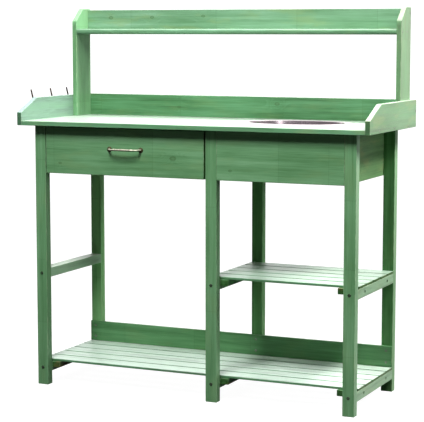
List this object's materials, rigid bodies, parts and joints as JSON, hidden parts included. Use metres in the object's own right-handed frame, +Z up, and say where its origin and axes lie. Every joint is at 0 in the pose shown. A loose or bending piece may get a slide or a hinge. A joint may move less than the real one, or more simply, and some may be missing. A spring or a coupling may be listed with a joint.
{
  "type": "potting bench",
  "caption": "Green-stained wooden potting bench with a drawer, an inset oval metal basin, slatted shelves, side panels, an upstand and a raised top shelf with tool hooks.",
  "frame": {"origin": "on the floor, under the middle of the whole object's box, hooks included", "axes": "+Z up; -Y to the front, where the drawer opens; +X to the right as seen from the front"},
  "size_m": [1.219, 0.455, 1.232],
  "materials": {
    "green_wood": "green-stained softwood with visible grain, satin",
    "bare_pine": "planed, unpainted",
    "plywood": "sanded",
    "stainless_steel": "brushed",
    "aged_brass": "aged, softly polished",
    "dark_bronze": "dark bronze coating",
    "zinc_plate": "zinc plated"
  },
  "bodies": {
    "bench": {"apron_back": "green_wood", "apron_divider": "green_wood", "apron_front": "green_wood", "apron_screws": "zinc_plate", "apron_side_left": "green_wood", "apron_side_right": "green_wood", "barrel_nuts": "zinc_plate", "drawer_runner_left": "bare_pine", "drawer_runner_right": "bare_pine", "frame_bolts": "zinc_plate", "leg_back_left": "green_wood", "leg_back_middle": "green_wood", "leg_back_right": "green_wood", "leg_front_left": "green_wood", "leg_front_middle": "green_wood", "leg_front_right": "green_wood", "low_shelf_cleat_left": "green_wood", "low_shelf_cleat_middle": "green_wood", "low_shelf_cleat_right": "green_wood", "low_shelf_slat_1": "green_wood", "low_shelf_slat_2": "green_wood", "low_shelf_slat_3": "green_wood", "low_shelf_slat_4": "green_wood", "low_shelf_slat_5": "green_wood", "mid_shelf_cleat_left": "green_wood", "mid_shelf_cleat_right": "green_wood", "mid_shelf_slat_1": "green_wood", "mid_shelf_slat_2": "green_wood", "mid_shelf_slat_3": "green_wood", "mid_shelf_slat_4": "green_wood", "mid_shelf_slat_5": "green_wood", "rail_low_left": "green_wood", "rail_low_middle": "green_wood", "rail_low_right": "green_wood", "rail_mid_left": "green_wood", "rail_mid_middle": "green_wood", "rail_mid_right": "green_wood", "rear_board": "green_wood", "rear_board_screws": "zinc_plate", "shelf_screws": "zinc_plate", "side_panel_left": "green_wood", "side_panel_right": "green_wood", "tool_hooks": "dark_bronze", "top_backboard": "green_wood", "top_shelf": "green_wood", "upper_screws": "zinc_plate", "upright_left": "green_wood", "upright_right": "green_wood", "upstand": "green_wood", "worktop": "green_wood", "worktop_screws": "zinc_plate"},
    "drawer": {"drawer_front": "green_wood", "drawer_side_left": "bare_pine", "drawer_side_right": "bare_pine", "drawer_back": "bare_pine", "drawer_bottom": "plywood", "drawer_handle": "aged_brass", "drawer_screws": "zinc_plate", "handle_screws": "zinc_plate"},
    "basin": {"sink_basin": "stainless_steel"}
  },
  "joints": [
    {"name": "drawer_slide", "type": "slide", "parent": "bench", "child": "drawer", "axis": [0, -1, 0], "range_m": [0, 0.28]},
    {"name": "basin_lift", "type": "slide", "parent": "bench", "child": "basin", "axis": [0, 0, 1], "range_m": [0, 0.15]}
  ]
}
